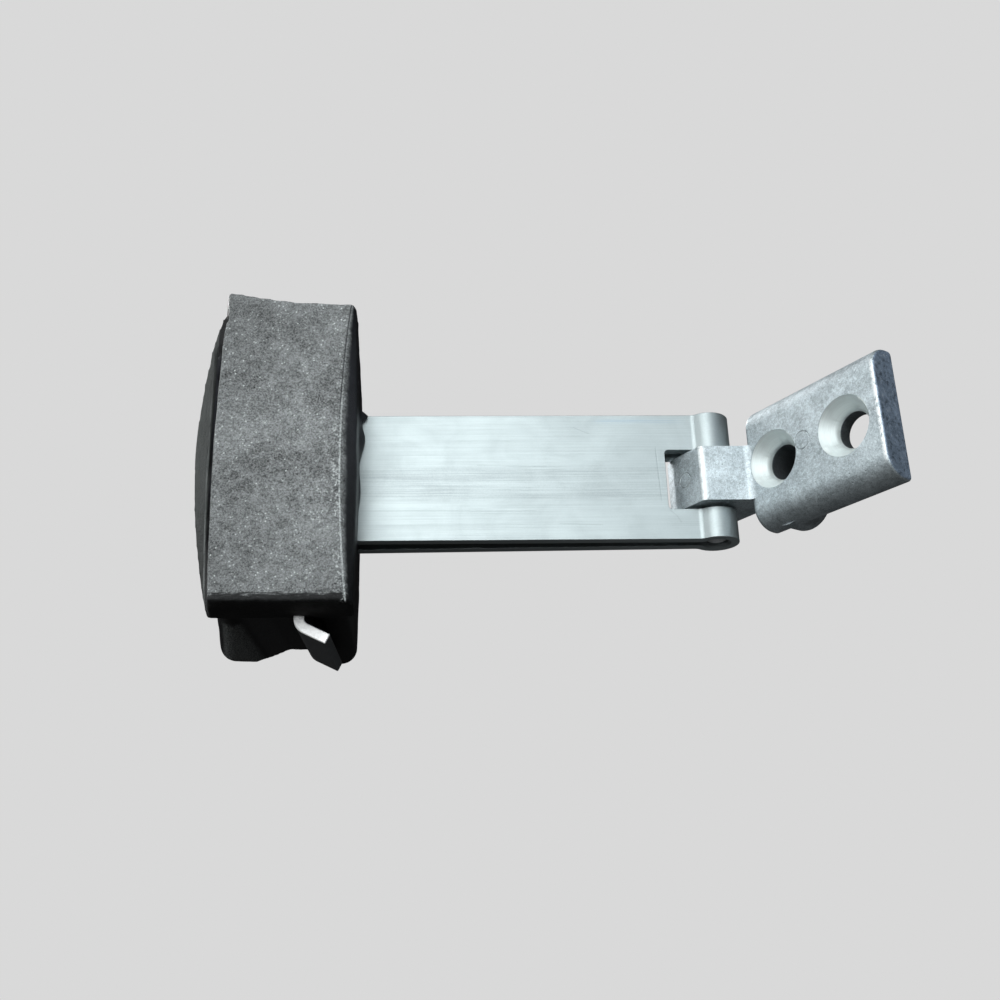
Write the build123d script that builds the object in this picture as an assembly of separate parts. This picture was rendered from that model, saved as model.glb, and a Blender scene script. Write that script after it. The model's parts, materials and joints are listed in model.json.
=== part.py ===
from build123d import *
from math import acos, cos, degrees, radians, sin
import os

# A car door limiter strap: a folded steel strap that swings on a pin in a die-cast
# pillar bracket, with a moulded rubber buffer on a steel cross plate at its far end.
#
# Millimetres. The origin is on the bracket's mounting face, midway between its two screw
# holes. X runs along the plate away from the hinge, Y out of the mounting face into the
# door pillar, and Z up along the hinge pin.

# Pillar bracket
screw_spacing = 22.4
screw_hole_radius = 4.6
countersink_radius = 7.6
countersink_depth = 4.5
plate_thickness = 8.0
plate_near_margin = 8.7
plate_far_margin = 10.7
plate_above_screws = 17.1
plate_below_screws = 16.6
plate_side_round = 6.0
plate_back_round = 1.2
plate_near_round = 1.5
plate_far_round = 0.8
pin_from_first_screw = 19.26
pin_from_mounting_face = 10.94

# Tongue of the bracket, which stands between the strap's two knuckles
tongue_width = 15.0
tongue_flank = 8.2
tongue_face = 7.9
tongue_heel = 9.0
tongue_crest_round = 1.4
tongue_heel_round = 4.0
tongue_root_round = 2.6

# Locating pad on the mounting face: an oblong across the plate, round the first screw hole
pad_half_width = 7.5
pad_half_length = 16.7
pad_height = 5.2
pad_round = 1.5
pad_towards_hinge = 1.0

# Hinge pin
pin_radius = 3.0
pin_recess = 0.5
pin_dome = 0.9
pin_grip_clearance = 0.02
pin_running_clearance = 0.06

# Folded strap
sheet_thickness = 2.75
strap_width = 35.1
leaf_gap = 2.36
back_leaf_splay = 1.24
neck_round = 2.5
slot_clearance = 0.82
slot_end = 12.6
slot_offset = -0.94
slot_corner_round = 1.0
knuckle_bore_chamfer = 0.6
end_bend_round = 1.5
end_tab_length = 4.0

# Retainer cross plate
retainer_from_pin = 103.35
retainer_thickness = 2.6
retainer_height = 29.0
retainer_bend_start = 40.4
retainer_bend_round = 1.5
retainer_low_bend_angle = 64.0
retainer_high_bend_angle = 90.0
retainer_flange = 6.0
retainer_slot_clearance = 0.4

# Rubber buffer: its outlines at their depths from the strap's middle plane, front first.
# Left and right are distances from the pin at the low end, the middle and the high end.
# Low is how far the outline reaches down at its left and right, and high how far up at its
# left, middle and right.
buffer_outlines = {
    "front": dict(
        depth=-25.0,
        left=(124.0, 125.5, 124.6),
        right=(92.8, 95.3, 93.4),
        low=(39.1, 39.1),
        high=(42.3, 39.6, 38.9),
    ),
    "shoulder": dict(
        depth=-21.5,
        left=(124.7, 126.2, 125.3),
        right=(91.3, 91.6, 92.9),
        low=(39.8, 39.8),
        high=(42.6, 40.2, 39.8),
    ),
    "slab foot": dict(
        depth=-13.0,
        left=(126.0, 127.5, 126.8),
        right=(91.8, 92.0, 93.0),
        low=(40.0, 40.0),
        high=(42.2, 40.6, 40.4),
    ),
    "lip": dict(
        depth=-13.0,
        left=(126.3, 132.8, 128.4),
        right=(97.0, 97.0, 97.0),
        low=(39.6, 39.6),
        high=(41.8, 41.3, 41.1),
    ),
    "core": dict(
        depth=-13.0,
        left=(123.3, 130.2, 126.0),
        right=(91.8, 92.0, 93.0),
        low=(40.0, 40.0),
        high=(40.6, 40.6, 40.6),
    ),
    "back": dict(
        depth=32.0,
        left=(132.2, 134.9, 133.2),
        right=(95.0, 95.2, 95.8),
        low=(40.3, 42.0),
        high=(40.6, 40.6, 40.6),
    ),
}
buffer_lip_thickness = 1.6
buffer_corner_round = 4.5
buffer_back_round = 4.0
buffer_bulge_above_middle = 4.0

# Channels in the buffer's two ends, where the retainer comes out
channel_depth = 3.4
channel_floor = (113.5, 102.0)
channel_mouth = (121.5, 99.5)
channel_overrun = 5.0

# How far the strap is swung at rest: its angle to the bracket's plate
strap_lean = 58.6

# Places that follow from the sizes above
pin_x = -screw_spacing / 2 - pin_from_first_screw
pin_y = -pin_from_mounting_face
knuckle_inner = pin_radius + pin_grip_clearance
knuckle_outer = knuckle_inner + sheet_thickness
leaf_middle = leaf_gap / 2 + sheet_thickness / 2
leaf_outer = leaf_gap / 2 + sheet_thickness
slot_width = tongue_width + 2 * slot_clearance
half_width = strap_width / 2
retainer_far_face = retainer_from_pin + retainer_thickness


# Turns a piece that is drawn along the straight strap, with the pin axis at the origin,
# X towards the hinge and Y towards the strap's back, to its place at rest.
def swung(shape):
    return Pos(pin_x, pin_y, 0) * Rot(0, 0, strap_lean) * shape


# Bracket: the plate, the tongue and the pad are one casting.
def bracket_plate():
    near = -screw_spacing / 2 - plate_near_margin
    far = screw_spacing / 2 + plate_far_margin
    height = plate_above_screws + plate_below_screws
    middle_z = (plate_above_screws - plate_below_screws) / 2
    plate = Box(far - near, plate_thickness, height)
    plate = Pos((near + far) / 2, -plate_thickness / 2, middle_z) * plate
    plate = fillet(plate.edges().filter_by(Axis.X).group_by(Axis.Y)[0], plate_side_round)
    plate = fillet(plate.edges().filter_by(Axis.X).group_by(Axis.Y)[-1], plate_back_round)
    plate = fillet(plate.faces().sort_by(Axis.X)[0].edges(), plate_near_round)
    return fillet(plate.faces().sort_by(Axis.X)[-1].edges(), plate_far_round)


def bracket_tongue():
    lean = radians(strap_lean)
    near = pin_from_first_screw - plate_near_margin
    plate_front = pin_from_mounting_face - plate_thickness
    crest_x = (tongue_flank - tongue_face * cos(lean)) / sin(lean)
    root_x = (tongue_flank + plate_front * cos(lean)) / sin(lean)
    inside_plate = near + plate_thickness / 2
    outline = Polyline(
        (-tongue_heel, pin_from_mounting_face),
        (-tongue_heel, -tongue_face),
        (crest_x, -tongue_face),
        (root_x, plate_front),
        (inside_plate, plate_front),
        (inside_plate, pin_from_mounting_face),
        close=True,
    )
    block = extrude(make_face(outline), amount=tongue_width / 2, both=True)
    block = fillet(block.edges().filter_by(Axis.Z).group_by(Axis.X)[0], tongue_heel_round)
    crest = [e for e in block.edges().filter_by(Axis.Z) if abs(e.center().X - crest_x) < 0.01]
    block = fillet(crest, tongue_crest_round)
    root = [e for e in block.edges().filter_by(Axis.Z) if abs(e.center().X - root_x) < 0.01]
    block = fillet(root, tongue_root_round)
    return Pos(pin_x, pin_y, slot_offset) * block


def locating_pad():
    slot = SlotOverall(2 * pad_half_length, 2 * pad_half_width, rotation=90)
    pad = extrude(slot, amount=pad_height + plate_thickness / 2)
    pad = fillet(pad.edges().group_by(Axis.Z)[-1], pad_round)
    return Pos(-screw_spacing / 2 - pad_towards_hinge, -plate_thickness / 2, 0) * Rot(-90, 0, 0) * pad


def screw_hole(x):
    through = Cylinder(screw_hole_radius, 4 * plate_thickness)
    sink = Cone(screw_hole_radius, countersink_radius, countersink_depth)
    sink = Pos(0, 0, plate_thickness - countersink_depth / 2) * sink
    mouth = Pos(0, 0, plate_thickness + 2) * Cylinder(countersink_radius, 4)
    return Pos(x, 0, 0) * Rot(90, 0, 0) * (through + sink + mouth)


def make_bracket():
    body = bracket_plate() + bracket_tongue() + locating_pad()
    body = body - screw_hole(-screw_spacing / 2) - screw_hole(screw_spacing / 2)
    bore = Cylinder(pin_radius + pin_running_clearance, 2 * strap_width)
    return body - Pos(pin_x, pin_y, 0) * bore


# A sheet bent along a line: it is walked from one end as straight runs and bends. A run is
# (length,), and a bend is (angle, radius inside the bend), to the left if positive.
def bent_sheet(start, heading, steps, thickness, width):
    sides = []
    for side in (1, -1):
        place = Vector(start[0], start[1])
        angle = heading
        edges = []
        for step in steps:
            leftward = Vector(0, 1).rotate(Axis.Z, angle)
            normal = leftward * (side * thickness / 2)
            if len(step) == 1:
                ahead = place + Vector(1, 0).rotate(Axis.Z, angle) * step[0]
                edges.append(Line(place + normal, ahead + normal))
                place = ahead
            else:
                turn, inside = step
                way = 1 if turn > 0 else -1
                centre = place + leftward * (way * (inside + thickness / 2))
                spoke = place + normal - centre
                halfway = centre + spoke.rotate(Axis.Z, turn / 2)
                edges.append(ThreePointArc(place + normal, halfway, centre + spoke.rotate(Axis.Z, turn)))
                place = centre + (place - centre).rotate(Axis.Z, turn)
                angle = angle + turn
        sides.append(edges)
    left, right = sides
    caps = [Line(left[0] @ 0, right[0] @ 0), Line(left[-1] @ 1, right[-1] @ 1)]
    return extrude(make_face(left + right + caps), amount=width / 2, both=True)


# Strap: one sheet from the front leaf's turned end, round the pin, to the back leaf's.
def folded_sheet():
    loop = knuckle_inner + sheet_thickness / 2
    neck = neck_round + sheet_thickness / 2
    neck_angle = acos((leaf_middle + neck) / (loop + neck))
    neck_reach = (loop + neck) * sin(neck_angle)
    bend = end_bend_round + sheet_thickness / 2
    tab_x = -retainer_far_face - bend
    splay = radians(back_leaf_splay)
    back_neck_x = -neck_reach * cos(splay) + leaf_middle * sin(splay)
    back_bend_x = tab_x + bend * (1 - sin(splay))
    steps = [
        (end_tab_length,),
        (-90, end_bend_round),
        (-neck_reach - (tab_x + bend),),
        (-degrees(neck_angle), neck_round),
        (180 - back_leaf_splay + 2 * degrees(neck_angle), knuckle_inner),
        (-degrees(neck_angle), neck_round),
        ((back_neck_x - back_bend_x) / cos(splay),),
        (back_leaf_splay - 90, end_bend_round),
        (end_tab_length,),
    ]
    start = (tab_x, -leaf_middle - bend - end_tab_length)
    return bent_sheet(start, 90, steps, sheet_thickness, strap_width)


def drawn_strap():
    slot_length = slot_end + knuckle_outer + 1
    slot = Box(slot_length, 4 * knuckle_outer, slot_width)
    slot = fillet(slot.edges().filter_by(Axis.Y).group_by(Axis.X)[0], slot_corner_round)
    sheet = folded_sheet() - Pos(slot_length / 2 - slot_end, 0, slot_offset) * slot
    mouth = Cone(knuckle_inner, knuckle_inner + knuckle_bore_chamfer, knuckle_bore_chamfer)
    upper_mouth = Pos(0, 0, half_width - knuckle_bore_chamfer / 2) * mouth
    return sheet - upper_mouth - mirror(upper_mouth, Plane.XY)


def make_pin():
    length = strap_width - 2 * pin_recess
    ball = (pin_radius ** 2 + pin_dome ** 2) / (2 * pin_dome)
    shank = Cylinder(pin_radius, length)
    upper = Pos(0, 0, length / 2 - ball) * Sphere(ball)
    lower = Pos(0, 0, ball - length / 2) * Sphere(ball)
    middle = Cylinder(2 * ball, length - 2 * pin_dome)
    return Pos(pin_x, pin_y, 0) * (shank & (middle + upper + lower))


# Retainer: a cross plate with a slot for the strap, its two ends bent towards the hinge.
def drawn_retainer():
    turn = radians(retainer_low_bend_angle)
    middle = retainer_bend_round + retainer_thickness / 2
    web_x = -retainer_from_pin - retainer_thickness / 2
    tip_x = web_x + middle * (1 - cos(turn)) + retainer_flange * sin(turn)
    tip_z = retainer_bend_start + middle * sin(turn) + retainer_flange * cos(turn)
    steps = [
        (retainer_flange,),
        (-retainer_low_bend_angle, retainer_bend_round),
        (2 * retainer_bend_start,),
        (-retainer_high_bend_angle, retainer_bend_round),
        (retainer_flange,),
    ]
    heading = 90 + retainer_low_bend_angle
    plate = bent_sheet((tip_x, -tip_z), heading, steps, retainer_thickness, retainer_height)
    front = leaf_outer + retainer_slot_clearance
    back = front + retainer_far_face * sin(radians(back_leaf_splay))
    slot = Box(4 * retainer_thickness, front + back, strap_width + 2 * retainer_slot_clearance)
    return Rot(90, 0, 0) * plate - Pos(-retainer_far_face, (back - front) / 2, 0) * slot


# Rubber buffer: one outline of it at one depth.
def buffer_outline(name):
    size = buffer_outlines[name]
    depth = size["depth"]
    low_at_left, low_at_right = [-z for z in size["low"]]
    high_left, high_middle, high_right = size["high"]
    left = [-x for x in size["left"]]
    right = [-x for x in size["right"]]
    middle_z = (low_at_right + high_right) / 2
    low_left = (left[0], depth, low_at_left)
    low_right = (right[0], depth, low_at_right)
    high_left_corner = (left[2], depth, high_left)
    high_right_corner = (right[2], depth, high_right)
    bulge = (left[1], depth, middle_z + buffer_bulge_above_middle)
    hollow = ((left[2] + right[2]) / 2, depth, high_middle)
    sides = [
        Line(low_left, low_right),
        bowed_edge(low_right, (right[1], depth, middle_z), high_right_corner),
        bowed_edge(high_right_corner, hollow, high_left_corner),
        bowed_edge(high_left_corner, bulge, low_left),
    ]
    return Face(Wire(sides))


def bowed_edge(start, middle, end):
    chord = Vector(*end) - Vector(*start)
    bow = (Vector(*middle) - Vector(*start)).cross(chord).length / chord.length
    return Line(start, end) if bow < 0.01 else ThreePointArc(start, middle, end)


# One channel, cut into the low end behind the front slab. The cut runs on past the rubber by
# the overrun.
def end_channel(end_z):
    front = buffer_outlines["core"]["depth"]
    depth = buffer_outlines["back"]["depth"] + channel_overrun - front
    floor_z = end_z + channel_depth
    below = end_z - channel_overrun
    outline = Polyline(
        (-channel_mouth[0], below),
        (-channel_mouth[0], end_z),
        (-channel_floor[0], floor_z),
        (-channel_floor[1], floor_z),
        (-channel_mouth[1], end_z),
        (-channel_mouth[1], below),
        close=True,
    )
    cut = extrude(make_face(outline), amount=depth)
    return Pos(0, front + depth, 0) * Rot(90, 0, 0) * cut


def buffer_core():
    core = loft([buffer_outline("core"), buffer_outline("back")], ruled=True)
    depth = buffer_outlines["back"]["depth"] - buffer_outlines["core"]["depth"]
    corners = [e for e in core.edges() if abs((e @ 0).Y - (e @ 1).Y) > depth / 2]
    core = fillet(corners, buffer_corner_round)
    core = fillet(core.edges().group_by(Axis.Y)[-1], buffer_back_round)
    low = end_channel(-buffer_outlines["core"]["low"][0])
    high = mirror(end_channel(-buffer_outlines["core"]["high"][1]), Plane.XY)
    return core - low - high


# The front slab stands on a thin bowed lip, and the core is narrower behind that lip.
def drawn_buffer():
    lip = extrude(buffer_outline("lip"), amount=buffer_lip_thickness, dir=(0, 1, 0))
    slab = loft([buffer_outline("slab foot"), buffer_outline("shoulder")], ruled=True)
    cap = loft([buffer_outline("shoulder"), buffer_outline("front")], ruled=True)
    return lip + slab + cap + buffer_core()


def make_parts():
    strap = drawn_strap()
    retainer = drawn_retainer()
    buffer = drawn_buffer() - strap - retainer
    return {
        "pillar_bracket": make_bracket(),
        "strap": swung(strap),
        "hinge_pin": make_pin(),
        "retainer_plate": swung(retainer),
        "rubber_buffer": swung(buffer),
    }


os.makedirs("parts", exist_ok=True)
for node, shape in make_parts().items():
    export_step(shape, "parts/" + node + ".step")
    print(node, round(shape.volume), "cubic mm,", len(shape.solids()), "solid")
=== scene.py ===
import bpy
import json
import math
from mathutils import Euler, Matrix, Vector, noise

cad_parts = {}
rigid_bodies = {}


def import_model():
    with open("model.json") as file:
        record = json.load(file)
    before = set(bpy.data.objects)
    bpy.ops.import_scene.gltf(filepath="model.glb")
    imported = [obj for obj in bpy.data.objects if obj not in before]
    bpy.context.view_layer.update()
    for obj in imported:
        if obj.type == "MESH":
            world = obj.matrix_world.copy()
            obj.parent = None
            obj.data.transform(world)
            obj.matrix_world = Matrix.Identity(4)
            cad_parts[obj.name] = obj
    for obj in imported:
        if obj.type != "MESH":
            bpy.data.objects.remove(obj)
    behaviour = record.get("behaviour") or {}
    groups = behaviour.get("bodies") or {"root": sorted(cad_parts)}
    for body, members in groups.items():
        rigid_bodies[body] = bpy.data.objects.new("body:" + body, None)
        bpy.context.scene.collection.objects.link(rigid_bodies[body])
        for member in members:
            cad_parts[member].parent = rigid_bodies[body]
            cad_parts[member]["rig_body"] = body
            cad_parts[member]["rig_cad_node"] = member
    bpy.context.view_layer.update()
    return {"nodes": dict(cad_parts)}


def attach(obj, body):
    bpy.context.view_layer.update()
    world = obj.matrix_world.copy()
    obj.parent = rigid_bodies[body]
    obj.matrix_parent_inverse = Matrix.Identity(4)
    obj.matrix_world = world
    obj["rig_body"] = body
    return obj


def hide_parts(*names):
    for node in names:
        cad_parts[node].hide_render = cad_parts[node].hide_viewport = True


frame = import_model()
nodes = frame["nodes"]
print("frame loaded:", sorted(nodes))

unit = 0.001  # one millimetre, in metres

# The strap's own directions, in mm: along it towards the hinge, across it upwards, and out of
# its front. The pin's axis is the zero.
strapPlace = {
    "pin": (-0.03046, -0.01094, 0.0),
    "turn": tuple(math.radians(angle) for angle in (90.0, 0.0, 58.6)),
}
strapMatrix = (
    Matrix.Translation(strapPlace["pin"])
    @ Euler(strapPlace["turn"], "XYZ").to_matrix().to_4x4()
    @ Matrix.Scale(unit, 4)
)
toStrap = strapMatrix.inverted()


def fromStrap(place):
    return strapMatrix @ Vector(place)


# Camera, at the photograph's viewing angle
view = {
    "place": (-66.6, -110.5, 265.3),  # strap directions, mm
    "turn": (111.674, 1.069, 56.755),
    "lens": 39.33,
    "clip": (0.01, 50),
}


def makeCamera():
    camera = bpy.data.cameras.new("camera")
    camera.lens = view["lens"]
    camera.clip_start, camera.clip_end = view["clip"]
    holder = bpy.data.objects.new("camera", camera)
    bpy.context.scene.collection.objects.link(holder)
    holder.location = fromStrap(view["place"])
    holder.rotation_euler = [math.radians(angle) for angle in view["turn"]]
    bpy.context.scene.camera = holder
    print("camera set")


# Stage: a plain floor far below the part, a pale room that lights little, and soft lamps.
# Lamps are placed and aimed in strap directions, mm, and their sizes are in metres.
studio = {
    "floorDepth": -1.6,
    "floorSize": 4.0,
    "floorTone": 0.6,
    "floorRoughness": 0.9,
    "background": 0.694,
    "ambient": 0.02,
    "lamps": {
        "key": dict(
            place=(-190, 300, 520), aim=(-60, 0, 0), size=(0.42, 0.34), power=2.3, tint=(0.97, 1.0, 1.0)
        ),
        "left": dict(
            place=(-600, 140, 140), aim=(0, 0, 0), size=(0.45, 0.6), power=1.5, tint=(0.97, 1.0, 1.0)
        ),
        "front": dict(
            place=(-90, 40, 620), aim=(-60, -20, 0), size=(0.20, 0.20), power=1.2, tint=(0.97, 1.0, 1.0)
        ),
        "right": dict(
            place=(260, 240, 520), aim=(0, 0, 0), size=(0.30, 0.30), power=0.35, tint=(0.80, 0.90, 1.0)
        ),
        "behind": dict(
            place=(-330, 480, -560), aim=(-40, 0, 0), size=(0.30, 0.30), power=4.4, tint=(1.0, 1.0, 1.0)
        ),
        "low": dict(
            place=(140, -230, -520), aim=(0, 0, 0), size=(0.22, 0.22), power=0.02, tint=(0.9, 0.97, 1.0)
        ),
    },
}


def makeFloor():
    place = (0, 0, studio["floorDepth"])
    bpy.ops.mesh.primitive_plane_add(size=studio["floorSize"], location=place)
    floor = bpy.context.active_object
    floor.name = "floor"
    paint = Finish("floorPaint")
    tone = (studio["floorTone"],) * 3
    floor.data.materials.append(paint.set(Base_Color=tone, Roughness=studio["floorRoughness"]))


def makeWorld():
    # the camera sees the photograph's grey, and the part is lit by a dim room instead
    world = bpy.data.worlds.new("paleRoom")
    bpy.context.scene.world = world
    world.use_nodes = True
    tree = world.node_tree
    tree.nodes.clear()
    seen = tree.nodes.new("ShaderNodeBackground")
    seen.inputs["Color"].default_value = (studio["background"],) * 3 + (1,)
    soft = tree.nodes.new("ShaderNodeBackground")
    soft.inputs["Color"].default_value = (studio["ambient"],) * 3 + (1,)
    path = tree.nodes.new("ShaderNodeLightPath")
    mix = tree.nodes.new("ShaderNodeMixShader")
    end = tree.nodes.new("ShaderNodeOutputWorld")
    tree.links.new(path.outputs["Is Camera Ray"], mix.inputs[0])
    tree.links.new(soft.outputs[0], mix.inputs[1])
    tree.links.new(seen.outputs[0], mix.inputs[2])
    tree.links.new(mix.outputs[0], end.inputs[0])


def makeLamp(name, lamp):
    light = bpy.data.lights.new(name, "AREA")
    light.shape = "RECTANGLE"
    light.size, light.size_y = lamp["size"]
    light.energy = lamp["power"]
    light.color = lamp["tint"]
    holder = bpy.data.objects.new(name, light)
    bpy.context.scene.collection.objects.link(holder)
    holder.location = fromStrap(lamp["place"])
    away = fromStrap(lamp["place"]) - fromStrap(lamp["aim"])
    holder.rotation_euler = away.to_track_quat("Z", "Y").to_euler()


def makeStage():
    bpy.context.scene.view_settings.view_transform = "Standard"
    makeFloor()
    makeWorld()
    for name, lamp in studio["lamps"].items():
        makeLamp(name, lamp)
    print("stage and lamps made")


# The share of a drawn line's width that has its full strength
lineCore = 0.3


# Shader maths: a wrapped socket that is added, multiplied and compared like a number
class Sock:
    def __init__(self, maker, socket):
        self.maker = maker
        self.socket = socket

    def math(self, operation, other=None):
        return self.maker.node("Math", {"operation": operation}, {0: self, 1: other})

    def __add__(self, other):
        return self.math("ADD", other)

    __radd__ = __add__

    def __mul__(self, other):
        return self.math("MULTIPLY", other)

    def __sub__(self, other):
        return self.math("SUBTRACT", other)

    def __rsub__(self, other):
        return self.maker.node("Math", {"operation": "SUBTRACT"}, {0: other, 1: self})

    def __pow__(self, other):
        return self.math("POWER", other)

    def low(self, other):
        return self.math("MINIMUM", other)

    def high(self, other):
        return self.math("MAXIMUM", other)

    def size(self):
        return self.math("ABSOLUTE")

    def step(self, start, end, low=0.0, high=1.0):
        inputs = {"Value": self, "From Min": start, "From Max": end, "To Min": low, "To Max": high}
        return self.maker.node("MapRange", {"interpolation_type": "SMOOTHSTEP"}, inputs, "Result")

    def within(self, start, end, soft):
        return self.step(start - soft, start + soft) * (1 - self.step(end - soft, end + soft))

    def line(self, width):
        # 1 where this distance is zero, fading out over the width
        return 1 - self.step(width * lineCore, width)


class Finish:
    def __init__(self, name):
        self.material = bpy.data.materials.new(name)
        self.material.use_nodes = True
        self.tree = self.material.node_tree
        self.shader = self.tree.nodes["Principled BSDF"]

    def node(self, kind, settings=None, inputs=None, output=0):
        made = self.tree.nodes.new("ShaderNode" + kind)
        for key, value in (settings or {}).items():
            setattr(made, key, value)
        for key, value in (inputs or {}).items():
            self.give(made.inputs[key], value)
        return Sock(self, made.outputs[output])

    def give(self, socket, value):
        if value is None:
            return
        if isinstance(value, Sock):
            self.tree.links.new(value.socket, socket)
        elif isinstance(value, tuple) and socket.type == "RGBA":
            socket.default_value = (*value, 1)
        else:
            socket.default_value = value

    def set(self, **values):
        for key, value in values.items():
            self.give(self.shader.inputs[key.replace("_", " ")], value)
        return self.material

    def millimetres(self):
        inputs = {"Vector": self.node("TexCoord", output="Object"), "Scale": (1 / unit,) * 3}
        return self.node("Mapping", {}, inputs)

    def strapCoords(self):
        inputs = {
            "Vector": self.node("TexCoord", output="Object"),
            "Location": strapPlace["pin"],
            "Rotation": strapPlace["turn"],
            "Scale": (unit,) * 3,
        }
        return self.node("Mapping", {"vector_type": "TEXTURE"}, inputs)

    def split(self, vector):
        made = self.tree.nodes.new("ShaderNodeSeparateXYZ")
        self.tree.links.new(vector.socket, made.inputs[0])
        return [Sock(self, output) for output in made.outputs]

    def cloud(self, vector, scale=1.0, detail=3, rough=0.6, distortion=0.0, stretch=None):
        if stretch:
            vector = self.node("Mapping", {}, {"Vector": vector, "Scale": stretch})
        inputs = {"Vector": vector, "Scale": scale, "Detail": detail, "Roughness": rough}
        return self.node("TexNoise", {}, {**inputs, "Distortion": distortion})

    def clouds(self, vector, kinds):
        return [self.cloud(vector, **kind) for kind in kinds.values()]

    def dots(self, vector, scale, radii, shift=(0, 0, 0)):
        # round spots, one to a cell, full inside the first radius and gone at the second
        moved = self.node("Mapping", {}, {"Vector": vector, "Location": shift})
        return 1 - self.node("TexVoronoi", {}, {"Vector": moved, "Scale": scale}).step(*radii)

    def turning(self, away, along, scale, drift):
        # a lathe's marks: noise that changes with the distance from the axis
        place = self.node("CombineXYZ", {}, {0: away, 1: along * drift})
        return self.cloud(place, scale, detail=2, rough=0.5)

    def blend(self, amount, first, second, mode="MIX"):
        # for colours, the mix node's inputs are 6 and 7 and its result is 2
        made = self.tree.nodes.new("ShaderNodeMix")
        made.data_type = "RGBA"
        made.blend_type = mode
        self.give(made.inputs[0], amount)
        self.give(made.inputs[6], first)
        self.give(made.inputs[7], second)
        return Sock(self, made.outputs[2])

    def shade(self, colour, tone):
        # brightens or darkens a colour by a number that varies over the surface
        grey = self.node("CombineColor", {}, {0: tone, 1: tone, 2: tone})
        return self.blend(1.0, colour, grey, "MULTIPLY")

    def bump(self, height, strength, distance):
        return self.node("Bump", {}, {"Height": height, "Strength": strength, "Distance": distance})


def total(fields, shares, base=0.0):
    # the fields added up, each by its share
    result = base
    for field, share in zip(fields, shares):
        result = field * share + result
    return result


def distance(x, z, place):
    placeX, placeZ = place
    return ((x - placeX) * (x - placeX) + (z - placeZ) * (z - placeZ)) ** 0.5


def scratch(x, y, start, end, width):
    (startX, startY), (endX, endY) = start, end
    length = math.hypot(endX - startX, endY - startY)
    wayX, wayY = (endX - startX) / length, (endY - startY) / length
    along = (x - startX) * wayX + (y - startY) * wayY
    across = (x - startX) * -wayY + (y - startY) * wayX
    beyond = (along - length / 2).size() - length / 2
    return across.size().high(beyond).line(width)


def rise(value, start, end):
    part = min(max((value - start) / (end - start), 0), 1)
    return part * part * (3 - 2 * part)


def hump(value, centre, spread):
    return math.exp(-(((value - centre) / spread) ** 2))


# How copied meshes are joined up and sharp edges broken: angles in degrees, lengths in metres
edgeWork = {
    "weld": 1e-6,  # vertices nearer than this become one
    "flat": 0.2,  # faces that turn by less are merged
    "segments": 3,
    "smooth": 35,
    "weight": 100,
}


def assign(piece, material):
    piece.data.materials.clear()
    piece.data.materials.append(material)


def selectOnly(piece):
    bpy.ops.object.select_all(action="DESELECT")
    piece.select_set(True)
    bpy.context.view_layer.objects.active = piece


def applyAll(piece):
    selectOnly(piece)
    for modifier in list(piece.modifiers):
        bpy.ops.object.modifier_apply(modifier=modifier.name)


def copyNode(node, name):
    piece = nodes[node].copy()
    piece.data = nodes[node].data.copy()
    piece.name = name
    piece.data.name = name
    piece.parent = None
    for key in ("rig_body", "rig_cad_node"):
        if key in piece:
            del piece[key]
    bpy.context.scene.collection.objects.link(piece)
    selectOnly(piece)
    bpy.ops.object.mode_set(mode="EDIT")
    bpy.ops.mesh.select_all(action="SELECT")
    bpy.ops.mesh.remove_doubles(threshold=edgeWork["weld"])
    bpy.ops.object.mode_set(mode="OBJECT")
    return piece


def mount(piece, body, node):
    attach(piece, body)
    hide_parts(node)


def breakEdges(piece, width, angle):
    # takes the sharpness off the edges that turn by more than the angle
    selectOnly(piece)
    bpy.ops.object.mode_set(mode="EDIT")
    bpy.ops.mesh.select_all(action="SELECT")
    bpy.ops.mesh.dissolve_limited(angle_limit=math.radians(edgeWork["flat"]))
    bpy.ops.object.mode_set(mode="OBJECT")
    bevel = piece.modifiers.new("broken edges", "BEVEL")
    bevel.width = width
    bevel.segments = edgeWork["segments"]
    bevel.limit_method = "ANGLE"
    bevel.angle_limit = math.radians(angle)
    applyAll(piece)
    bpy.ops.object.shade_smooth_by_angle(angle=math.radians(edgeWork["smooth"]))
    level = piece.modifiers.new("level faces", "WEIGHTED_NORMAL")
    level.weight = edgeWork["weight"]
    level.keep_sharp = True
    applyAll(piece)


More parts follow.
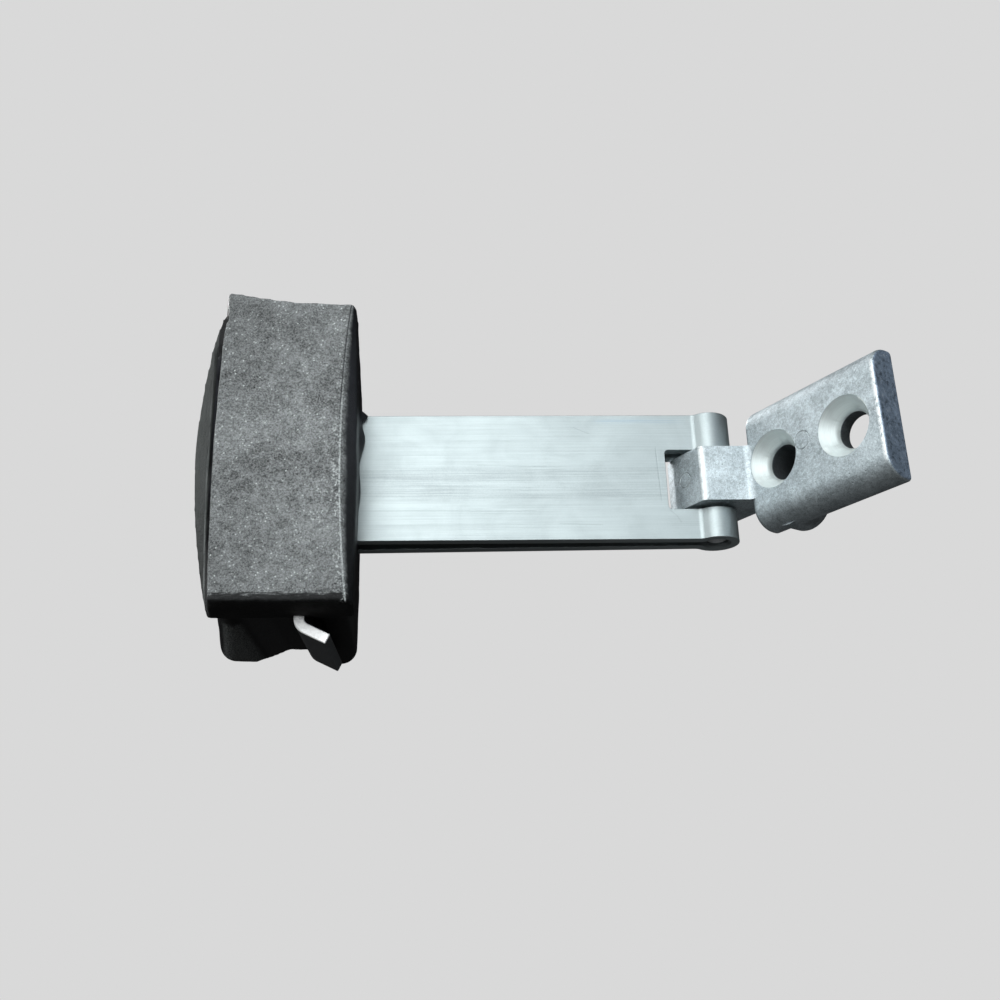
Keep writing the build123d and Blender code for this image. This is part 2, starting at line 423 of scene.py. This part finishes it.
# Pillar bracket: cast skin, machined cones round the screw holes. Its places are in the part's
# own directions, mm. In every look below, steps are the values that a change runs between, and
# edge is the broken edges' width in metres.
bracketLook = {
    "edge": 0.0004,
    "edgeAngle": 88,
    "heel": dict(start=-35.4, zone=(-18.94, -14.8), rise=(-18.84, -16.44), swell=1.5),
    "screws": (-11.2, 11.2),
    "plateMark": dict(place=(-1.3, 1.2), radius=2.3),  # plain ejector marks, on the plate
    "tongueMark": dict(place=(-31.9, -0.9), radius=2.0),  # and on the tongue's end
    "markWidth": 0.22,
    "light": (0.78, 0.865, 0.905),
    "dark": (0.32, 0.37, 0.395),
    "machined": (0.84, 0.90, 0.90),
    # the bright colour of wear and specks, and of the painted highlight on the tongue's crest
    "wornAndHighlight": (0.92, 0.96, 0.97),
    # near black: painted shade inside the screw bores, and the dark spots on the end face
    "boreShadeAndSpots": (0.05, 0.055, 0.06),
    # painted shade: the end face is multiplied darker and bluer by this
    "endShadeTint": (0.66, 0.74, 0.90),
    "noise": dict(
        patches=dict(scale=0.16, detail=4),
        mottle=dict(scale=0.9, detail=4, rough=0.65, distortion=0.6),
        grain=dict(scale=3.2),
    ),
    "rings": dict(scale=5.0, drift=0.05),
    "specks": dict(scale=0.75, radii=(0.06, 0.16)),
    "pits": dict(scale=0.5, radii=(0.05, 0.14), shift=(31, 7, 13)),
    "skin": dict(shares=(0.30, 0.35, 0.35)),
    "coneTone": dict(shares=(0.2, 0.1), base=0.86),
    "roughness": dict(shares=(0.16, 0.04), base=0.47),
    "relief": dict(shares=(0.5, 0.5, 0.5, -0.6, -0.8)),
    "bump": (0.6, 0.00022),
    "metallic": 0.8,
    "steps": dict(
        broad=(0.35, 0.65),
        grain=(0.38, 0.62),
        specks=(0.45, 0.60),
        rim=(7.55, 7.85),
        cone=(-7.94, -3.4, 0.05),
        bore=(4.65, 4.85),
        boreDepth=(-3.6, -3.2),
        endFace=(21.6, 21.85),
        endBright=(0.58, 0.70),
        endDark=(0.30, 0.46),
        endLine=(20.9, 21.65, 0.12),
        endLineDepth=(-7.9, -7.3),
        ragged=(0.35, 0.55),
        crest=(-26.48, -24.98, 0.3),
        crestDepth=(-18.2, -17.4),
        plateMarkFront=(-8.2, -8.05),
        plateMarkBack=(-7.95, -7.8),
        tongueMarkBack=(-18.7, -18.5),
    ),
    "amounts": dict(
        specks=0.55,
        pits=0.5,
        endBright=0.45,
        endDark=0.55,
        endLine=0.9,
        crest=0.4,
        crestRagged=0.5,
        marks=0.24,
        paintedBoreShade=0.9,
        coneSmooth=0.75,
        coneRings=0.12,
    ),
}


def ringMark(x, z, mark):
    away = distance(x, z, mark["place"]) - mark["radius"]
    return away.size().line(bracketLook["markWidth"])


def ejectorMarks(x, y, z):
    steps = bracketLook["steps"]
    onPlate = y.step(*steps["plateMarkFront"]) * (1 - y.step(*steps["plateMarkBack"]))
    onTongue = 1 - y.step(*steps["tongueMarkBack"])
    plateMark = ringMark(x, z, bracketLook["plateMark"]) * onPlate
    return plateMark.high(ringMark(x, z, bracketLook["tongueMark"]) * onTongue)


def endShadeAndHighlights(cast, colour, x, y, mottle):
    # the end face painted darker and bluer as shade, with light and dark spots on it, the bright line where
    # it meets the front, and a painted highlight along the tongue's crest
    look = bracketLook
    steps = look["steps"]
    amounts = look["amounts"]
    endFace = x.step(*steps["endFace"])
    # painted shade: the end face made darker and bluer
    colour = cast.blend(endFace, colour, look["endShadeTint"], "MULTIPLY")
    bright = endFace * mottle.step(*steps["endBright"]) * amounts["endBright"]
    colour = cast.blend(bright, colour, look["wornAndHighlight"])
    dark = endFace * (1 - mottle.step(*steps["endDark"])) * amounts["endDark"]
    colour = cast.blend(dark, colour, look["boreShadeAndSpots"])
    ragged = mottle.step(*steps["ragged"])
    endLine = x.within(*steps["endLine"]) * (1 - y.step(*steps["endLineDepth"]))
    colour = cast.blend(endLine * ragged * amounts["endLine"], colour, look["wornAndHighlight"])
    # painted highlight along the tongue's crest, ragged along its length
    crest = x.within(*steps["crest"]) * (1 - y.step(*steps["crestDepth"]))
    strength = ragged * amounts["crestRagged"] + amounts["crest"]
    return cast.blend(crest * strength, colour, look["wornAndHighlight"])


def castFinish():
    look = bracketLook
    steps = look["steps"]
    amounts = look["amounts"]
    cast = Finish("castBracket")
    place = cast.millimetres()
    x, y, z = cast.split(place)
    patches, mottle, grain = cast.clouds(place, look["noise"])
    skin = [patches.step(*steps["broad"]), mottle.step(*steps["broad"]), grain.step(*steps["grain"])]
    colour = cast.blend(total(skin, **look["skin"]), look["dark"], look["light"])
    specks = cast.dots(place, **look["specks"]) * mottle.step(*steps["specks"])
    pits = cast.dots(place, **look["pits"])
    colour = cast.blend(specks * amounts["specks"], colour, look["wornAndHighlight"])
    colour = cast.blend(pits * amounts["pits"], colour, look["dark"])
    # machined cones round both screw axes, and the bores inside them painted dark as shade
    first, second = [distance(x, z, (screw, 0)) for screw in look["screws"]]
    turned = first.low(second)
    cones = (1 - turned.step(*steps["rim"])) * y.within(*steps["cone"])
    rings = cast.turning(turned, z, **look["rings"])
    machined = cast.shade(look["machined"], total((rings, mottle), **look["coneTone"]))
    colour = cast.blend(cones, colour, machined)
    colour = endShadeAndHighlights(cast, colour, x, y, mottle)
    marks = ejectorMarks(x, y, z)
    colour = cast.shade(colour, 1 - marks * amounts["marks"])
    # painted shade: the walls of both bores made near black
    paintedBoreShade = (1 - turned.step(*steps["bore"])) * y.step(*steps["boreDepth"])
    colour = cast.blend(paintedBoreShade * amounts["paintedBoreShade"], colour, look["boreShadeAndSpots"])
    roughness = total((mottle, cones), **look["roughness"])
    height = total((mottle, grain, patches, pits, marks), **look["relief"])
    height = height * (1 - cones * amounts["coneSmooth"]) + rings * cones * amounts["coneRings"]
    normal = cast.bump(height, *look["bump"])
    return cast.set(
        Base_Color=colour, Metallic=look["metallic"], Roughness=roughness, Normal=normal
    )


def swellHeel(piece):
    # the tongue's heel swells away from the pin, from nothing at its front
    heel = bracketLook["heel"]
    front, back = heel["zone"]
    for vertex in piece.data.vertices:
        x, y = vertex.co.x / unit, vertex.co.y / unit
        if x < heel["start"] and front < y < back:
            vertex.co.x -= heel["swell"] * rise(y, *heel["rise"]) * unit


def makeBracket():
    piece = copyNode("pillar_bracket", "pillarBracket")
    swellHeel(piece)
    breakEdges(piece, bracketLook["edge"], bracketLook["edgeAngle"])
    mount(piece, "bracket", "pillar_bracket")
    assign(piece, castFinish())
    print("pillar bracket:", len(piece.data.polygons), "faces")


# Strap: bright plated sheet with lines drawn along it. Places are in strap directions, mm.
strapLook = {
    "edge": 0.0004,
    "edgeAngle": 38,
    "plate": (0.46, 0.517, 0.527),
    "dull": (0.22, 0.25, 0.262),
    "blue": (0.33, 0.42, 0.49),
    "noise": dict(
        drawn=dict(stretch=(0.03, 5.0, 5.0)),
        fine=dict(stretch=(0.12, 11.0, 11.0), detail=2, rough=0.5),
        patches=dict(scale=0.09, detail=4, distortion=0.8),
        speckle=dict(scale=2.6),
    ),
    "lines": dict(shares=(0.5, 0.3, 0.2)),
    "middle": dict(shares=(0.55,), base=0.45),
    "tone": dict(shares=(-0.5, -0.12), base=1.0),
    "roughness": dict(shares=(0.14, 0.08), base=0.42),
    "relief": dict(shares=(1.2, 0.4, -0.5)),
    "bump": (0.4, 0.00006),
    "metallic": 0.9,
    "steps": dict(
        lines=(0.3, 0.7),
        middle=(-6.5, 2.6, 1.2),
        patches=(0.4, 0.75),
        blueAcross=(15.0, 16.5, 0.4),
        blueAlong=(-30.0, -8.0, 3.0),
        blue=(0.4, 0.6),
        front=(2.0, 3.0),
    ),
    "blueAmount": 0.55,
    "scratchAmount": 0.22,
    "wander": (0.3, 0.2),  # how far a scratch strays, along and across
    "scratches": [
        # start, end (along, across) and width
        ((-95.0, -9.4), (-47.0, -9.6), 0.16),
        ((-36.3, 14.0), (-32.3, 12.2), 0.22),
        ((-12.3, -9.6), (-10.6, -11.2), 0.20),
        ((-10.6, -11.2), (-9.7, -12.9), 0.20),
        ((-14.9, 8.2), (-14.3, -6.8), 0.22),
        ((-62.0, 3.2), (-44.0, 2.9), 0.14),
        ((-41.0, -13.2), (-30.0, -13.6), 0.14),
    ],
}


def allScratches(x, y, speckle):
    alongStray, acrossStray = strapLook["wander"]
    strayX = x + (speckle - 0.5) * alongStray
    strayY = y + (speckle - 0.5) * acrossStray
    cuts = None
    for start, end, width in strapLook["scratches"]:
        cut = scratch(strayX, strayY, start, end, width)
        cuts = cut if cuts is None else cuts.high(cut)
    return cuts


def platedFinish():
    look = strapLook
    steps = look["steps"]
    plated = Finish("platedStrap")
    place = plated.strapCoords()
    x, y, z = plated.split(place)
    drawn, fine, patches, speckle = plated.clouds(place, look["noise"])
    lines = total((drawn, fine, speckle), **look["lines"])
    middle = total((y.within(*steps["middle"]),), **look["middle"])
    tone = total((lines.step(*steps["lines"]) * middle, patches.step(*steps["patches"])), **look["tone"])
    colour = plated.blend(tone, look["dull"], look["plate"])
    blue = y.within(*steps["blueAcross"]) * x.within(*steps["blueAlong"]) * drawn.step(*steps["blue"])
    colour = plated.blend(blue * look["blueAmount"], colour, look["blue"])
    cuts = allScratches(x, y, speckle) * z.step(*steps["front"])
    colour = plated.blend(cuts * look["scratchAmount"], colour, look["dull"])
    roughness = total((drawn, patches), **look["roughness"])
    height = total((lines, patches, cuts), **look["relief"])
    normal = plated.bump(height, *look["bump"])
    return plated.set(
        Base_Color=colour, Metallic=look["metallic"], Roughness=roughness, Normal=normal
    )


def makeStrap():
    piece = copyNode("strap", "platedStrap")
    breakEdges(piece, strapLook["edge"], strapLook["edgeAngle"])
    mount(piece, "strap", "strap")
    assign(piece, platedFinish())
    print("strap:", len(piece.data.polygons), "faces")


# Hinge pin: turned steel, its ends spread by peening
pinLook = {
    "steel": (0.80, 0.82, 0.83),
    # dark: painted shade on the pin's end round its middle, and grime in its dents
    "dark": (0.03, 0.033, 0.037),
    "dents": dict(scale=1.4),
    "rings": dict(scale=3.0, drift=0.1),
    "rimStep": (2.2, 3.0),
    "dentStep": (0.5, 0.7),
    "rimShadeAndGrime": dict(shares=(0.8, 0.2)),
    "roughness": dict(shares=(0.2,), base=0.3),
    "relief": dict(shares=(0.7, 0.3)),
    "bump": (0.6, 0.0002),
    "metallic": 0.95,
}


def finishPin():
    look = pinLook
    steel = Finish("steelPin")
    place = steel.strapCoords()
    x, y, z = steel.split(place)
    away = distance(x, z, (0, 0))
    dents = steel.cloud(place, **look["dents"])
    rings = steel.turning(away, y, **look["rings"])
    # painted shade: the pin's end dark beyond its middle, with grime in dents
    rimShadeAndGrime = total((away.step(*look["rimStep"]), dents.step(*look["dentStep"])), **look["rimShadeAndGrime"])
    colour = steel.blend(rimShadeAndGrime, look["steel"], look["dark"])
    roughness = total((dents,), **look["roughness"])
    normal = steel.bump(total((dents, rings), **look["relief"]), *look["bump"])
    material = steel.set(
        Base_Color=colour, Metallic=look["metallic"], Roughness=roughness, Normal=normal
    )
    assign(nodes["hinge_pin"], material)
    print("hinge pin finished")


# Retainer plate: cut edges painted white, bare cut steel with a painted highlight; satin faces of dark steel
# with painted shade
retainerLook = {
    "edge": 0.0003,
    "edgeAngle": 38,
    "litCutEdge": (1.0, 1.0, 1.0),
    "face": (0.20, 0.21, 0.22),
    "cutStep": (14.15, 14.38),
    "noise": dict(
        torn=dict(stretch=(3.0, 3.0, 0.4)),
        skin=dict(scale=0.7, detail=4),
    ),
    "faceTone": dict(shares=(0.5,), base=0.75),
    "edgeTone": dict(shares=(0.35,), base=0.8),
    "roughness": dict(shares=(0.2, -0.06), base=0.42),
    "metallic": dict(shares=(-0.6,), base=0.9),
    "relief": dict(shares=(0.5, 0.5)),
    "bump": (0.5, 0.00015),
}


def retainerFinish():
    look = retainerLook
    steel = Finish("steelRetainer")
    place = steel.strapCoords()
    z = steel.split(place)[2]
    torn, skin = steel.clouds(place, look["noise"])
    # painted light: the cut edges white as lit, the faces dark as shaded
    cut = z.size().step(*look["cutStep"])
    face = steel.shade(look["face"], total((skin,), **look["faceTone"]))
    edge = steel.shade(look["litCutEdge"], total((torn,), **look["edgeTone"]))
    colour = steel.blend(cut, face, edge)
    roughness = total((skin, cut), **look["roughness"])
    metallic = total((cut,), **look["metallic"])
    normal = steel.bump(total((skin, torn), **look["relief"]), *look["bump"])
    return steel.set(Base_Color=colour, Metallic=metallic, Roughness=roughness, Normal=normal)


def makeRetainer():
    piece = copyNode("retainer_plate", "retainerPlate")
    breakEdges(piece, retainerLook["edge"], retainerLook["edgeAngle"])
    mount(piece, "strap", "retainer_plate")
    assign(piece, retainerFinish())
    print("retainer plate:", len(piece.data.polygons), "faces")


# Rubber buffer, in strap directions, mm. A line on it is (bend, height of its middle, x there):
# x = middle + bend (y - height)^2. A layer of noise is (share, stretch, seed).
rubber = {
    "voxel": 0.00062,  # metres
    "ease": dict(factor=0.5, iterations=2),
    "slabLeft": (0.00060, 4.0, -127.3),
    "bandInner": (0.00068, 22.0, -129.4),
    "frontRight": (0.00145, 2.6, -95.3),
    "lipFront": 13.0,
    "faceFront": 25.0,
    "band": dict(facing=0.35, near=0.9, beyond=0.4),
    "groove": dict(depth=3.4, lowEnd=(-26, -12), highEnd=(26, 36), wall=(-0.2, 0.35)),
    "lip": dict(above=0.9, below=2.4, beyond=0.2),
    "lipWider": ((35.0, 9.0, 0.5), (-37.0, 8.0, 0.3)),  # height, spread, how much further out
    "flare": dict(facing=-0.3, start=37.0, rise=(37.5, 40.0), size=1.0),
    "notch": dict(
        facing=-0.4,
        above=0.6,
        height=36.0,
        spread=3.0,
        depth=1.0,
        base=0.75,
        layers=((0.6, (0.9, 0.3, 0.0), (0.0, 0.0, 3.0)),),
    ),
    "creased": dict(
        front=20.5,
        below=-37.0,
        across=0.28,
        out=0.2,
        layers=((1.0, (0.35, 1.3, 0.0), (0.0, 0.0, 7.0)), (0.5, (0.9, 2.2, 0.0), (0.0, 0.0, 2.0))),
    ),
    # swellings on the right side where the rubber lies on the strap: height, out, spreads, size
    "collarSide": dict(facing=0.2, start=-98.0),
    "collar": (
        (16.9, 4.9, 1.3, 1.6, 2.1),
        (10.4, 4.9, 4.6, 2.0, 1.6),
        (-4.0, 4.5, 5.0, 1.6, 0.5),
    ),
    "chipped": dict(
        front=23.5,
        edge=-1.2,
        across=0.35,
        out=0.15,
        layers=((1.0, (0.8, 0.0, 0.0), (0.0, 5.0, 1.0)), (0.6, (2.1, 0.0, 0.0), (0.0, 9.0, 1.0))),
    ),
    "nick": dict(place=(-93.7, -34.7), spread=0.7, depth=0.7),
    "uneven": ((0.045, 0.16), (0.16, 0.10), (0.5, 0.05)),  # scale and size
}


def bowed(line, y):
    bend, height, middle = line
    return middle + (y - height) * (y - height) * bend


def ripple(place, layers):
    result = 0
    for share, stretch, seed in layers:
        result += share * noise.noise([at * scale + start for at, scale, start in zip(place, stretch, seed)])
    return result


def shapeBand(place, normal):
    # the groove beside the slab's left edge, and the lip's own edge
    x, y, z = place
    move = Vector((0, 0, 0))
    above = z - rubber["lipFront"]
    beyond = x - bowed(rubber["slabLeft"], y)
    band = rubber["band"]
    if normal.z > band["facing"] and abs(above) < band["near"] and beyond < band["beyond"]:
        groove = rubber["groove"]
        fromInner = x - bowed(rubber["bandInner"], y)
        along = rise(y, *groove["lowEnd"]) * (1 - rise(y, *groove["highEnd"]))
        move.z -= groove["depth"] * along * rise(fromInner, *groove["wall"])
    lip = rubber["lip"]
    if -lip["below"] < above < lip["above"] and beyond < lip["beyond"]:
        for height, spread, further in rubber["lipWider"]:
            move.x -= further * hump(y, height, spread)
    return move


def shapeSlab(place, normal):
    # the slab's flared top corner, its torn notch and its creased lower edge
    y, z = place.yz
    move = Vector((0, 0, 0))
    flare = rubber["flare"]
    if normal.x < flare["facing"] and z > rubber["lipFront"] and y > flare["start"]:
        depth = (rubber["faceFront"] - z) / (rubber["faceFront"] - rubber["lipFront"])
        move.x -= flare["size"] * rise(y, *flare["rise"]) * depth
    notch = rubber["notch"]
    if normal.x < notch["facing"] and z > rubber["lipFront"] + notch["above"]:
        torn = notch["base"] + ripple((y, z, 0), notch["layers"])
        move.x += notch["depth"] * hump(y, notch["height"], notch["spread"]) * torn
    creased = rubber["creased"]
    if z > creased["front"] and y < creased["below"]:
        crease = ripple(place, creased["layers"])
        move.y += creased["across"] * crease
        move.z += creased["out"] * crease
    return move


def shapeRight(place, normal):
    # the swellings on the strap, the front's chipped right edge and the nick in it
    x, y, z = place
    move = Vector((0, 0, 0))
    side = rubber["collarSide"]
    if normal.x > side["facing"] and x > side["start"]:
        for height, out, tall, deep, size in rubber["collar"]:
            move.x += size * hump(y, height, tall) * hump(z, out, deep)
    chipped = rubber["chipped"]
    if z > chipped["front"]:
        if x - bowed(rubber["frontRight"], y) > chipped["edge"]:
            chip = ripple((y, 0, 0), chipped["layers"])
            move.x += chipped["across"] * chip
            move.z -= chipped["out"] * max(chip, 0)
        nick = rubber["nick"]
        nickX, nickY = nick["place"]
        move.z -= nick["depth"] * hump(x, nickX, nick["spread"]) * hump(y, nickY, nick["spread"])
    return move


def shapeBuffer(piece):
    # all normals are read before the first vertex moves, as each move has them worked out anew
    turn = toStrap.to_3x3()
    normals = [(turn @ vertex.normal).normalized() for vertex in piece.data.vertices]
    for vertex, normal in zip(piece.data.vertices, normals):
        place = toStrap @ vertex.co
        move = shapeBand(place, normal) + shapeSlab(place, normal) + shapeRight(place, normal)
        for scale, size in rubber["uneven"]:
            move += normal * (size * noise.noise(place * scale))
        vertex.co = strapMatrix @ (place + move)
    piece.data.update()


# The rubber's look: front face painted grey as lit, sides and underside painted black as shade, streaked
# band
rubberLook = {
    # painted light: the front face gets this grey, far paler than the sides, as it faces the lamps
    "litFrontGrey": (0.192, 0.202, 0.205),
    "bandColour": (0.044, 0.048, 0.047),
    # painted shade: the sides and underside get this near black
    "side": (0.016, 0.017, 0.020),
    # painted shade: the groove and the slab's left wall are made black
    "grooveShade": (0.003, 0.003, 0.004),
    # painted highlights: glints in the grain, sheen and bright edges on the rubber
    "paintedHighlight": (0.80, 0.85, 0.85),
    "noise": dict(
        patches=dict(scale=0.07, detail=4, distortion=0.4),
        mottle=dict(scale=0.45, detail=4),
        grain=dict(scale=2.3),
        fine=dict(scale=4.2, detail=2),
        creases=dict(stretch=(0.3, 2.4, 0.6), detail=4),
        streaks=dict(stretch=(3.5, 0.12, 3.5)),
    ),
    "sparkle": dict(scale=1.0, radii=(0.10, 0.28)),
    "lone": dict(scale=0.45, radii=(0.05, 0.12), shift=(11, 23, 5)),
    "pores": dict(scale=1.15, radii=(0.10, 0.42), shift=(5, 3, 17)),
    "tone": dict(shares=(0.46, 0.38, 0.80, 0.50, -0.30), base=0.05),
    "sideGrainAndShade": dict(shares=(0.6, 0.3), base=0.55),
    "bandStreaksAndShade": dict(shares=(0.8, 0.35), base=0.45),
    "ragged": dict(shares=(4.0, 0.9, 0.36), base=-2.63),
    "roughness": dict(shares=(0.28, 0.12, 0.2, 0.3), base=0.40),
    "relief": dict(shares=(0.55, 0.3, 0.5, 0.3)),
    "bump": (0.8, 0.0005),
    "specular": 0.4,
    "bandLipAway": 0.42,
    "steps": dict(
        patches=(0.36, 0.64),
        mottle=(0.34, 0.66),
        grain=(0.38, 0.62),
        fine=(0.36, 0.64),
        upTone=(2.0, 36.0, 1.0, 0.80),
        lowTone=(-30.0, -10.0, 0.90, 1.0),
        acrossTone=(-125.0, -93.0, 0.92, 1.10),
        # painted shade: the sides darker towards the bottom
        sideGrainAndShade=(-34.0, 14.0, 0.35, 1.9),
        # painted shade: the band darker towards its bottom
        bandStreaksAndShade=(-34.0, -4.0, 0.42, 1.0),
        facing=(23.3, 24.5),
        lowEdge=(-37.9, -36.8),
        # painted shade: the underside
        shadedUnder=(-39.6, -38.4),
        sheenAlong=(-121.0, -119.0),
        sheenDepth=(4.0, 8.0),
        cornerSheen=(0.40, 0.60),
        bandDepth=(1.0, 1.8),
        bandEnd=(-127.6, -127.2),
        groove=(-0.2, 0.1),
        wallEnd=(-126.4, -125.4),
        wallDepth=(13.6, 23.4, 0.4),
        bandLip=(0.08, 0.26),
        bandLipHigh=(14.0, 30.0),
        bandLipStreaks=(0.3, 0.55),
        sparkleMottle=(0.42, 0.60),
        sparklePatches=(0.40, 0.60, 0.4, 1.0),
        rim=(-0.28, 0.12, 0.12),
        rimGrain=(0.42, 0.58, 0.35, 1.0),
        flecks=(-1.9, 0.1, 0.5),
        flecksGrain=(0.50, 0.62),
        flecksMottle=(0.45, 0.60),
        wornHigh=(-2.0, 24.0, 1.0, 0.15),
        rightLine=(-0.55, -0.25, 0.1),
        rightLineHigh=(2.0, 14.0),
    ),
    "amounts": dict(
        shadedUnder=0.8,
        cornerSheen=0.3,
        lowEdge=0.95,
        bandLip=0.16,
        sparkle=0.75,
        lone=0.7,
        flecks=0.75,
        wornAndHighlight=0.8,
        rightLine=0.8,
    ),
}


def rightEdge(moulded, colour, x, y, facing, grain, mottle):
    # painted highlights, in worn flecks, along the face's lower right edge, and a dark line along its upper
    # one
    look = rubberLook
    steps = look["steps"]
    amounts = look["amounts"]
    fromRight = x - bowed(rubber["frontRight"], y)
    rim = fromRight.within(*steps["rim"]) * grain.step(*steps["rimGrain"])
    speckled = grain.step(*steps["flecksGrain"]) * mottle.step(*steps["flecksMottle"])
    flecks = fromRight.within(*steps["flecks"]) * speckled * amounts["flecks"]
    wornAndHighlight = rim.high(flecks) * facing * y.step(*steps["wornHigh"])
    colour = moulded.blend(wornAndHighlight * amounts["wornAndHighlight"], colour, look["paintedHighlight"])
    line = fromRight.within(*steps["rightLine"]) * facing * y.step(*steps["rightLineHigh"])
    return moulded.blend(line * amounts["rightLine"], colour, look["side"])


def rubberFinish():
    look = rubberLook
    steps = look["steps"]
    amounts = look["amounts"]
    moulded = Finish("blackRubber")
    place = moulded.strapCoords()
    x, y, z = moulded.split(place)
    patches, mottle, grain, fine, creases, streaks = moulded.clouds(place, look["noise"])
    # where the surface is: front face, its lower edge, the underside, the band and its groove
    facing = z.step(*steps["facing"])
    lowEdge = 1 - (y + total((creases, mottle, grain), **look["ragged"])).step(*steps["lowEdge"])
    shadedUnder = 1 - y.step(*steps["shadedUnder"])
    fromLip = (z - rubber["lipFront"]).size()
    onBand = (1 - fromLip.step(*steps["bandDepth"])) * (1 - x.step(*steps["bandEnd"]))
    fromInner = x - bowed(rubber["bandInner"], y)
    # the slab's left wall, painted black below as shade
    wall = (1 - x.step(*steps["wallEnd"])) * z.within(*steps["wallDepth"])
    groove = (onBand * fromInner.step(*steps["groove"])).high(wall)
    # the front, painted grey as lit by the lamps, and darker towards the top and the left
    pores = moulded.dots(place, **look["pores"])
    grains = [patches.step(*steps["patches"]), mottle.step(*steps["mottle"])]
    grains += [grain.step(*steps["grain"]), fine.step(*steps["fine"]), pores]
    tone = total(grains, **look["tone"]) * y.step(*steps["upTone"])
    tone = tone * y.step(*steps["lowTone"]) * x.step(*steps["acrossTone"])
    front = moulded.shade(look["litFrontGrey"], tone)
    # the sides painted near black as shade, darker towards the bottom, the underside darker still as painted
    # shade, and a painted sheen on the core's lower left corner
    tone = total((mottle, grain), **look["sideGrainAndShade"]) * y.step(*steps["sideGrainAndShade"])
    side = moulded.shade(look["side"], tone * (1 - shadedUnder * amounts["shadedUnder"]))
    # painted sheen, in streaks, on the core's lower left corner
    cornerSheen = (1 - x.step(*steps["sheenAlong"])) * (1 - z.step(*steps["sheenDepth"])) * shadedUnder
    side = moulded.blend(cornerSheen * streaks.step(*steps["cornerSheen"]) * amounts["cornerSheen"], side, look["paintedHighlight"])
    # painted shade: the front's creased lower edge takes the sides' dark colour where it turns down
    colour = moulded.blend(facing * (1 - lowEdge * amounts["lowEdge"]), side, front)
    # the streaked band, painted darker towards its bottom as shade, a painted highlight along the edge of
    # its groove, and the groove and the slab's left wall painted black as shade
    tone = total((streaks, grain), **look["bandStreaksAndShade"]) * y.step(*steps["bandStreaksAndShade"])
    colour = moulded.blend(onBand, colour, moulded.shade(look["bandColour"], tone))
    # painted highlight along the edge of the groove
    onLip = 1 - (fromInner + look["bandLipAway"]).size().step(*steps["bandLip"])
    onLip = onLip * (1 - y.step(*steps["bandLipHigh"])) * streaks.step(*steps["bandLipStreaks"])
    colour = moulded.blend(onBand * onLip * amounts["bandLip"], colour, look["paintedHighlight"])
    colour = moulded.blend(groove, colour, look["grooveShade"])
    # painted glints in the front's grain
    sparkle = moulded.dots(place, **look["sparkle"]) * mottle.step(*steps["sparkleMottle"])
    sparkle = sparkle * patches.step(*steps["sparklePatches"]) * amounts["sparkle"]
    glints = sparkle.high(moulded.dots(place, **look["lone"]) * amounts["lone"])
    colour = moulded.blend(glints * facing * (1 - lowEdge), colour, look["paintedHighlight"])
    colour = rightEdge(moulded, colour, x, y, facing, grain, mottle)
    roughness = total((facing, grain, groove, shadedUnder), **look["roughness"])
    height = total((grain, fine, mottle, streaks * onBand), **look["relief"])
    normal = moulded.bump(height, *look["bump"])
    return moulded.set(
        Base_Color=colour, Roughness=roughness, Normal=normal, Specular_IOR_Level=look["specular"]
    )


def makeBuffer():
    piece = copyNode("rubber_buffer", "rubberBuffer")
    remesh = piece.modifiers.new("skin", "REMESH")
    remesh.mode = "VOXEL"
    remesh.voxel_size = rubber["voxel"]
    ease = piece.modifiers.new("ease", "SMOOTH")
    ease.factor = rubber["ease"]["factor"]
    ease.iterations = rubber["ease"]["iterations"]
    applyAll(piece)
    shapeBuffer(piece)
    mount(piece, "strap", "rubber_buffer")
    selectOnly(piece)
    bpy.ops.object.shade_smooth()
    assign(piece, rubberFinish())
    print("rubber buffer:", len(piece.data.polygons), "faces")


makeCamera()
makeStage()
makeBracket()
makeStrap()
finishPin()
makeRetainer()
makeBuffer()
